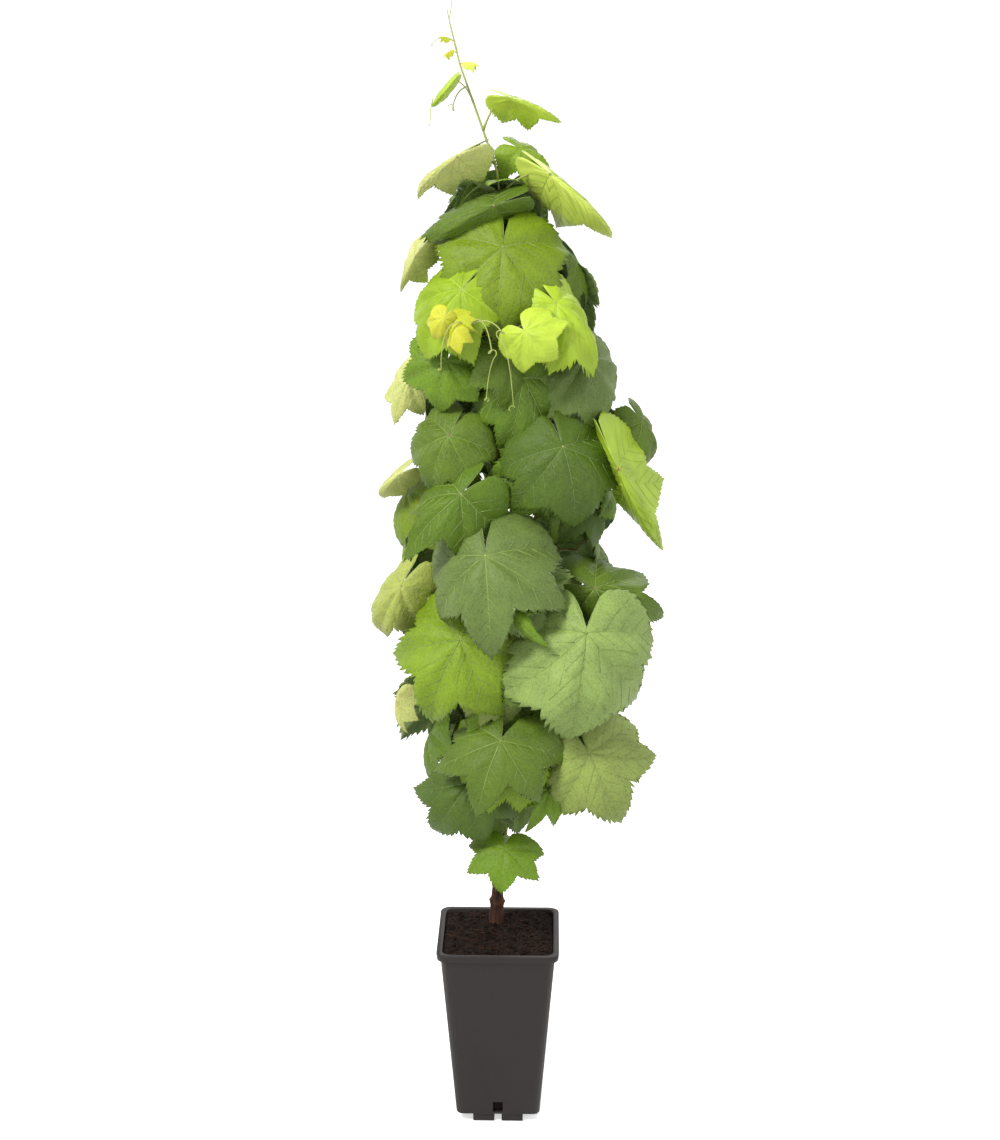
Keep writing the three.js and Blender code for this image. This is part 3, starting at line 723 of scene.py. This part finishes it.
PADS = {name: pad_of(name) for name in MASSES}
G_ = PADS["centre_big"]
OPEN = (G_["m"][2] - 0.06 * G_["L"], G_["m"][2] + 0.67 * G_["L"], 0.48 * G_["W"])       # the stems show over the big grey leaf, so nothing hidden grows close to them there
for mi, name in enumerate(MASSES):
    rng = np.random.default_rng(9100 + 37 * mi)
    P, slot = PADS[name], SLOT[name]
    area = P["L"] * P["W"]
    L, W = P["L"], P["W"] - (0.010 if P["L"] < 0.06 else 0.0)       # a small mass shows its thickness in its width
    young = slot in ("leaf_lime", "leaf_yellow") and rng.random() < 0.8
    extra = 0 if min(P["L"], P["W"]) < 0.06 else (1 if area < 0.008 else (2 if area < 0.017 else 3))
    tilt = rng.normal(0, 0.11, 2)
    nrm = unit(P["n"] + P["side"] * tilt[0] + P["tip"] * tilt[1] * 0.5 + UP * rng.uniform(0.0, 0.10))
    tip = unit(P["tip"] - nrm * (P["tip"] @ nrm))
    spin = rng.normal(0, 0.08)
    tip = unit(tip * cos(spin) + np.cross(tip, nrm) * sin(spin))
    if slot == "leaf_yellow":             # the unfolding tip of a shoot: three small leaves that hang apart
        todo = []
        for turn_, k, a, b, z, fold in ((1.25, 0.62, -0.22, -0.26, -0.004, 0.52), (0.62, 0.66, -0.20, 0.10, 0.004, 0.80), (-0.12, 0.62, 0.24, 0.04, 0.008, 0.86)):
            t2 = unit(tip * cos(turn_) - np.cross(tip, nrm) * sin(turn_))
            n2 = unit(nrm + t2 * rng.uniform(-0.15, 0.15) + P["side"] * rng.uniform(-0.25, 0.25))
            t2 = unit(t2 - n2 * (t2 @ n2))
            todo.append(place(rng, slot, P["m"] + P["side"] * a * W + P["tip"] * b * L + P["n"] * (0.008 + z), t2, n2, L * k * 1.12, fold, True, 1.0, 0.8))
    else:
        todo = [place(rng, slot, P["m"] + P["n"] * 0.004, tip, nrm, L * 1.02, W / L * (1.5 if name == "top_right_leaf" else 1), young, LOBED.get(name))]
    for j in range(extra):
        use = "leaf_mid" if slot == "leaf_dark" and j % 2 else slot
        if slot in ("leaf_lime", "leaf_grey", "leaf_pale"):
            use = ["leaf_mid", "leaf_dark", slot][int(rng.integers(0, 3))]
        t_ = rng.normal(0, 0.42, 2)
        n2 = unit(P["n"] + P["side"] * t_[0] + P["tip"] * t_[1] * 0.6 + UP * rng.uniform(0.0, 0.3))
        t2 = unit(P["tip"] - n2 * (P["tip"] @ n2))
        spin = rng.choice([-1, 1]) * rng.uniform(0.40, 1.05)
        t2 = unit(t2 * cos(spin) + np.cross(t2, n2) * sin(spin))
        span = float(np.clip(min(L, W) * rng.uniform(0.72, 0.96), 0.03, 0.145))
        inward = -unit(P["out"]) * rng.uniform(0.020, 0.042) * max(1.0, L / 0.14)
        off = P["side"] * rng.uniform(-0.24, 0.24) * W
        if (off[:2] @ P["out"][:2] > 0) != (name == "bottom_right"):      # they lean in towards the stems, but the lowest on the right fan out
            off = -off
        c = P["m"] + inward + off + P["tip"] * rng.uniform(-0.22, 0.16) * L
        ratio = rng.uniform(0.88, 1.02) if rng.random() < 0.7 else rng.uniform(0.45, 0.75)
        if name == "bottom_right" and j == 0:
            c, t2, span, ratio = P["m"] - P["side"] * 0.30 * W - P["n"] * 0.026 - P["tip"] * 0.05 * L, unit(P["tip"] - P["side"] * 0.25), 0.84 * L, 0.66
            n2 = unit(P["n"] - t2 * (P["n"] @ t2))
        q = place(rng, use, c, t2, n2, span, ratio, False)
        if OPEN[0] < c[2] < OPEN[1] and abs(c[0] - stem_at("trunk", c[2])[0]) < OPEN[2]:
            continue
        todo.append(q)
    for frm, q in zip(branch(rng, P, todo) * (5 if len(todo) == 1 else 1), todo):
        grow_leaf(rng, q["slot"], frm, q["J"], q["tip"], q["nrm"], q["size"], q["widen"], q["shut"], q["depth"], q["cup"], q["droop"], q["wave"] * (1.3 if q["young"] else 1), q["young"], q is todo[0], TONE.get(name) if q is todo[0] else None)

# older leaves on short stalks close to the stems, in the shade of the rest, apart from the stretch where the stems show
for j, z in enumerate([z for z in np.linspace(0.45, 1.09, 15) if not OPEN[0] - 0.02 < z < OPEN[1] + 0.01]):
    rng = np.random.default_rng(700 + j)
    q = stem_at("trunk" if j % 3 else "second_cane", min(z, 0.97) if j % 3 == 0 else z)
    a = -pi / 2 + (2.4 * j) % 2.8 - 1.4
    out = np.array([cos(a), sin(a), 0.0])
    n2 = unit(out + UP * rng.uniform(0.15, 0.5))
    t2 = unit(-UP - n2 * (-UP @ n2))
    spin = rng.uniform(-0.7, 0.7)
    t2 = unit(t2 * cos(spin) + np.cross(t2, n2) * sin(spin))
    g_ = place(rng, "leaf_mid", q + out * 0.028 - UP * 0.01, t2, n2, rng.uniform(0.080, 0.100), rng.uniform(0.85, 1.0), False)
    grow_leaf(rng, "leaf_mid", q + UP * 0.012, g_["J"], g_["tip"], g_["nrm"], g_["size"], g_["widen"], g_["shut"], g_["depth"], g_["cup"], g_["droop"], g_["wave"], False, False)

# small folded leaves up the end of the leading shoot, each smaller than the one below
tp, tr = lines["trunk"]
rng = np.random.default_rng(404)
top_z = tp[-1, 2]
for j, (z, s) in enumerate(((top_z - 0.064, 1), (top_z - 0.046, -1), (top_z - 0.034, -1))):
    i = int(np.argmin(abs(tp[:, 2] - z)))
    away = unit(np.array([s * 1.0, -0.35, 0.10 if s > 0 else 0.05 + 0.3 * (j - 1)]))
    J = tp[i] + away * 0.009 + UP * 0.002
    t2 = unit(away + UP * (0.0, -0.45, 0.15)[j])
    n2 = unit(UP - t2 * (UP @ t2) + np.array([0, -0.55, 0]))
    n2 = unit(n2 - t2 * (n2 @ t2))
    grow_leaf(rng, "leaf_lime" if j == 0 else "leaf_yellow", tp[i], J, t2, n2, (0.015, 0.011, 0.010)[j], 0.9, 1.0, 0.3, 0.10, 0.5, 0.02, True)

FOLIAGE = []
for slot, items in blades.items():
    part, tris_in, k = Heap(), 0, 0
    for i, (v, t, m) in enumerate(items):
        part.add(v, t, m)
        tris_in += len(t)
        if tris_in > 180000 or i == len(items) - 1:
            k += 1
            ob = part.build(f"{slot.replace('leaf_', 'leaves_')}_{k}", leaf_mats[slot])
            FOLIAGE.append((ob, slot))
            part, tris_in = Heap(), 0
VEINS, part, tris_in = [], Heap(), 0
for i, (v, t, m) in enumerate(zip(veins_all.v, veins_all.t, veins_all.m)):
    base_ = t.min()
    part.add(v, t - base_, m)
    tris_in += len(t)
    if tris_in > 180000 or i == len(veins_all.v) - 1:
        VEINS.append(part.build(f"leaf_veins_{len(VEINS) + 1}", [vein_mat, vein_soft_mat, vein_pale_mat, vein_crease_shade_mat, vein_dark_mat]))
        part, tris_in = Heap(), 0
stalks_ob = stalks.build("leaf_stalks", [stalk_mat, stalk_red_mat])
twigs_ob = twigs.build("side_twigs", [cane_mat])

# ---------------------------------------------------------------- stems
stem_objs = []
for si, name in enumerate(STEMS):
    pts, rad = lines[name]
    n = max(24, int(np.linalg.norm(np.diff(pts, axis=0), axis=1).sum() / 0.0035))
    line = smooth_line(pts, n)
    r = np.interp(np.linspace(0, 1, n), np.linspace(0, 1, len(rad)), rad)
    r = np.convolve(np.pad(r, 6, "edge"), np.ones(13) / 13, "valid")
    arc = np.r_[0, np.cumsum(np.linalg.norm(np.diff(line, axis=0), axis=1))]
    gap = 0.062 if name in ("trunk", "second_cane") else 0.045
    joint = np.exp(-((np.mod(arc + 0.01 * si, gap) - gap / 2) / 0.0032) ** 2)
    r = r * (1 + 0.30 * joint)
    if name == "trunk":
        r = np.minimum(r, 0.00045 + 0.055 * np.maximum(0, top_z - 0.012 - line[:, 2]))
    woody = np.clip((0.62 - line[:, 2]) / 0.25, 0, 1) if name != "second_cane" else np.zeros(n)
    ph = np.random.default_rng(50 + si).uniform(0, 2 * pi, 4)

    def relief(i, ang, ph=ph, woody=woody, arc=arc):
        s = arc[i]
        ridges = np.sin(7 * ang + ph[0] + 9 * np.sin(12 * s)) * 0.5 + np.sin(11 * ang + ph[1] + 40 * s) * 0.35 + np.sin(4 * ang + 160 * s + ph[2]) * 0.25
        return 0.035 * ridges + 0.09 * woody[i] * ridges

    tv, tt = tube(line, r, 18, relief)
    ring = np.r_[np.repeat(np.arange(n), 18), [0, n - 1]]
    zc = line[ring[tt[:, 0]], 2]
    if name == "trunk":
        idx = np.where(zc < 0.98, 0, 2)
        idx = np.where((zc >= 0.80) & (zc < 0.98), 1, idx)
    elif name == "second_cane":
        idx = np.where(zc < 0.90, 1, 2)
    else:
        idx = np.full(len(tt), 1)
    ob = mesh_object("stem_" + name, tv, tt, [bark_mat, cane_mat, shoot_mat], idx)
    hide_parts(name)
    stem_objs.append(ob)

# ---------------------------------------------------------------- tendrils: thin shoots that sag, loop and curl up at the end
tend = Heap()


def spun(v, axis, ang):
    return v * cos(ang) + np.cross(axis, v) * sin(ang) + axis * (axis @ v) * (1 - cos(ang))


def tendril(rng, p, d, length, loops, sag=1.0, curl=1.3, r0=0.0009, n=110):
    """Winds a thin shoot from p along d. loops lists (where along it, how long a share, how many turns)."""
    ds, pos, d = length / n, np.array(p, float), unit(np.asarray(d, float))
    axis = unit(np.cross(d, UP) + rng.normal(0, 0.22, 3))
    turn_ = -1.0 if rng.random() < 0.5 else 1.0
    wander = rng.uniform(0, 2 * pi, 2)
    pts = [pos.copy()]
    for i in range(n):
        u = i / n
        inside = [t_ / w * 2 * pi / n for a, w, t_ in loops if a <= u < a + w]
        if u > 0.86 and curl:
            inside.append(curl / 0.14 * 2 * pi / n * (1 + 4 * (u - 0.86)))
        if inside:
            d = unit(spun(d, axis, turn_ * inside[0]))
            pos = pos + axis * ds * 0.20
        else:
            d = unit(d - UP * sag * 3.2 / n * (1 if u > 0.08 else 0) + axis * 0.55 / n * sin(9 * u + wander[0]) * 6 / 3)
        pos = pos + d * ds
        pts.append(pos.copy())
    pts = np.array(pts)
    over = LIMIT_LO[1] + 0.004 - pts[:, 1].min()
    if over > 0:                          # keep to the object's own room: lean the whole shoot back
        pts[:, 1] += over * np.clip((p[1] - pts[:, 1]) / max(p[1] - pts[:, 1].min(), 1e-6), 0, 1)
    tv, tt = tube(pts, np.linspace(r0, 0.00035, n + 1), 6)
    tend.add(tv, tt, 0)
    return pts


rng = np.random.default_rng(77)
Y = PADS["young_tip"]
knot = Y["m"] - Y["tip"] * Y["L"] * 0.20 - Y["side"] * Y["W"] * 0.26 + Y["n"] * 0.004
for dx, dz, length, loops, sag in ((0.30, 0.22, 0.172, [(0.38, 0.18, 1.2)], 3.0), (0.85, 0.28, 0.172, [(0.26, 0.14, 1.1)], 2.6), (-0.9, 0.45, 0.085, [], 1.9)):
    tendril(rng, knot, np.array([dx, -0.40, dz]), length, loops, sag)
tendril(rng, stem_at("trunk", top_z - 0.085), (-0.5, -0.4, -0.2), 0.062, [(0.55, 0.10, 0.5)], 1.1, 0.7)
tendril(rng, stem_at("trunk", top_z - 0.034), (-0.75, -0.2, 0.65), 0.034, [], 0.7, 0.55, 0.0007, 60)
tendril(rng, stem_at("trunk", top_z - 0.018), (0.25, -0.2, 1.0), 0.024, [], -0.6, 0.35, 0.0006, 60)
T0 = PADS["top_left_leaf"]
tendril(rng, T0["m"] + T0["tip"] * T0["L"] * 0.30, (-0.15, -0.2, -1.0), 0.034, [], 0.4, 0.4, 0.0007, 60)
for name, z, length in (("trunk", 1.10, 0.10), ("trunk", 1.02, 0.11), ("trunk", 0.90, 0.09), ("trunk", 0.76, 0.10), ("second_cane", 0.98, 0.10), ("second_cane", 0.86, 0.09), ("trunk", 0.60, 0.08)):
    p = stem_at(name, z)
    a = rng.uniform(0, 2 * pi)
    tendril(rng, p, np.array([cos(a), sin(a) - 0.3, 0.35]), length, [(rng.uniform(0.35, 0.6), 0.12, rng.choice([0.8, 1.2]))], 1.2)
tend_ob = tend.build("tendrils", [tendril_mat])

# ---------------------------------------------------------------- pot: the frame's own shape with softened edges
me = nodes["pot"].data.copy()
pot = bpy.data.objects.new("pot_moulding", me)
bpy.context.scene.collection.objects.link(pot)
import bmesh
bm = bmesh.new()
bm.from_mesh(me)
bmesh.ops.remove_doubles(bm, verts=bm.verts, dist=2e-5)
bmesh.ops.dissolve_limit(bm, angle_limit=radians(1.0), verts=bm.verts, edges=bm.edges)
bm.to_mesh(me)
bm.free()
me.materials.clear()
me.materials.append(pot_mat)
me.polygons.foreach_set("use_smooth", np.full(len(me.polygons), True))
bev = pot.modifiers.new("edges", "BEVEL")
bev.width, bev.segments, bev.limit_method, bev.angle_limit = 0.0007, 2, "ANGLE", radians(40)
bev.harden_normals = True
bpy.context.view_layer.objects.active = pot
pot.select_set(True)
bpy.ops.object.modifier_apply(modifier="edges")
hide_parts("pot")

# ---------------------------------------------------------------- compost
clo, chi = (np.array(x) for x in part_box("compost"))
hw = (chi[0] - clo[0]) / 2
cx, cy = (clo[0] + chi[0]) / 2, (clo[1] + chi[1]) / 2
G = 110
g = np.linspace(-1, 1, G)
gx, gy = np.meshgrid(g, g)
px, py = gx * (hw - 0.0006), gy * (hw - 0.0006)
p3 = np.stack([px.ravel(), py.ravel(), np.zeros(G * G)], 1)
h = 0.0022 * noise(p3, 3, 70) + 0.0013 * noise(p3, 4, 260) + 0.0009 * noise(p3, 5, 700)
mound = 0.004 * np.exp(-(((px.ravel() - tp[0][0]) ** 2 + (py.ravel() - tp[0][1]) ** 2) / 0.028 ** 2))
edge = np.clip((1 - np.maximum(abs(gx), abs(gy)).ravel()) / 0.08, 0, 1)
z = chi[2] - 0.0012 + h + mound - 0.0010 * (1 - edge)
soil = Heap()
top = np.stack([px.ravel() + cx, py.ravel() + cy, z], 1)
i = np.arange(G - 1)
a = (i[:, None] * G + i[None, :]).ravel()
soil.add(top, np.vstack([np.stack([a, a + 1, a + G + 1], 1), np.stack([a, a + G + 1, a + G], 1)]), 0)
# sides down to the floor of the pot
sv, st = [], []
sc = 104 / 140 * 1.0
foot = hw * (clo[2] * 0 + 0.715)
cor = [(-1, -1), (1, -1), (1, 1), (-1, 1)]
for x, y in cor:
    sv.append([cx + x * foot, cy + y * foot, clo[2] + 0.0006])
for x, y in cor:
    sv.append([cx + x * (hw - 0.002), cy + y * (hw - 0.002), chi[2] - 0.006])
for q in range(4):
    a0, b0 = q, (q + 1) % 4
    st += [[a0, b0, b0 + 4], [a0, b0 + 4, a0 + 4]]
st += [[0, 2, 1], [0, 3, 2], [4, 5, 6], [4, 6, 7]]
soil.add(np.array(sv), np.array(st), 0)
# crumbs
ico = bmesh.new()
bmesh.ops.create_icosphere(ico, subdivisions=1, radius=1)
iv = np.array([v.co for v in ico.verts])
it = np.array([[v.index for v in f.verts] for f in ico.faces])
ico.free()
rs = np.random.default_rng(12)
for k in range(620):
    x, y = rs.uniform(-0.93, 0.93, 2) * hw
    s = 0.0009 + 0.0026 * rs.random() ** 3
    dd = iv * (1 + 0.35 * rs.uniform(-1, 1, (len(iv), 1))) * s * np.array([1, rs.uniform(0.6, 1), rs.uniform(0.5, 0.9)])
    zi = z[np.argmin((p3[:, 0] - x) ** 2 + (p3[:, 1] - y) ** 2)] if k % 1 == 0 else chi[2]
    soil.add(dd + [x + cx, y + cy, zi + s * 0.25], it, 0)
soil_ob = soil.build("compost_surface", [soil_mat])
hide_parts("compost")
fib = Heap()
for k in range(170):
    x, y = rs.uniform(-0.9, 0.9, 2) * hw
    zi = z[np.argmin((p3[:, 0] - x) ** 2 + (p3[:, 1] - y) ** 2)]
    a1, l = rs.uniform(0, 2 * pi), rs.uniform(0.004, 0.016)
    u = np.linspace(-0.5, 0.5, 6)
    bendy = rs.uniform(-0.25, 0.25)
    line = np.stack([x + cx + l * (u * cos(a1) - bendy * (u ** 2 - .1) * sin(a1)), y + cy + l * (u * sin(a1) + bendy * (u ** 2 - .1) * cos(a1)), zi + 0.0008 + 0.0016 * (0.25 - u ** 2) * rs.uniform(0, 3)], 1)
    tv, tt = tube(line, np.full(6, rs.uniform(0.00018, 0.0004)), 5)
    fib.add(tv, tt, 0)
fib_ob = fib.build("compost_fibres", [fibre_mat])

# ---------------------------------------------------------------- everything rides on the one body
for ob in VEINS + [stalks_ob, twigs_ob, tend_ob, pot, soil_ob, fib_ob] + stem_objs + [o for o, _ in FOLIAGE]:
    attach(ob, "root")
stalks_ob, twigs_ob, tend_ob, fib_ob
for name in MASSES:
    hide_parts(name)

# ---------------------------------------------------------------- floor, light, camera
prof = [(0.0, -0.0005), (3.6, -0.0005)] + [(3.6 + 2.4 * sin(q), -0.0005 + 2.4 * (1 - cos(q))) for q in np.linspace(0.1, pi / 2, 14)] + [(6.0, 6.0)]
NS = 72
fv = np.array([[r * cos(q), r * sin(q), z] for r, z in prof[1:] for q in np.linspace(0, 2 * pi, NS, endpoint=False)] + [[0, 0, prof[0][1]]])
kk = np.arange(NS)
k3 = (kk + 1) % NS
ft = [np.stack([np.full(NS, len(fv) - 1), kk, k3], 1)]
for q in range(len(prof) - 2):
    ft += [np.stack([q * NS + kk, (q + 1) * NS + kk, (q + 1) * NS + k3], 1), np.stack([q * NS + kk, (q + 1) * NS + k3, q * NS + k3], 1)]
floor = mesh_object("floor", fv, np.vstack(ft), [])
fm = bpy.data.materials.new("floor_pale")
fm.use_nodes = True
fb = fm.node_tree.nodes["Principled BSDF"]
fb.inputs["Base Color"].default_value = (0.86, 0.86, 0.85, 1)
fb.inputs["Roughness"].default_value = 0.9
fb.inputs["Emission Color"].default_value = (1, 1, 1, 1)
fb.inputs["Emission Strength"].default_value = 0.58
floor.data.materials.append(fm)
floor.visible_diffuse = False
world = bpy.data.worlds.new("soft_studio")
world.use_nodes = True
world.node_tree.nodes["Background"].inputs[0].default_value = (1, 1, 1, 1)
world.node_tree.nodes["Background"].inputs[1].default_value = 0.60
bpy.context.scene.world = world


def area_light(name, where, aim, size, power, colour=(1, 1, 1)):
    l = bpy.data.lights.new(name, "AREA")
    l.size, l.energy, l.color = size, power, colour
    o = bpy.data.objects.new(name, l)
    o.location = where
    o.rotation_euler = (Vector(aim) - Vector(where)).to_track_quat("-Z", "Y").to_euler()
    bpy.context.scene.collection.objects.link(o)


area_light("key", (-1.7, -2.0, 3.2), (0, 0, 0.8), 0.9, 104, (1, 0.98, 0.94))
area_light("fill", (2.4, -2.0, 1.6), (0, 0, 0.7), 2.0, 18)
area_light("back", (0.6, 2.4, 2.6), (0, 0, 0.8), 1.6, 28)
cam = bpy.data.cameras.new("view")
cam.lens, cam.sensor_width = 72.63, 36
cam.dof.use_dof = False
co = bpy.data.objects.new("view", cam)
co.location = (0.0590, -2.6344, 1.441)
co.rotation_euler = (radians(90 - 15.66), 0, radians(1.25))
bpy.context.scene.collection.objects.link(co)
bpy.context.scene.camera = co
bpy.context.scene.view_settings.view_transform = "Standard"
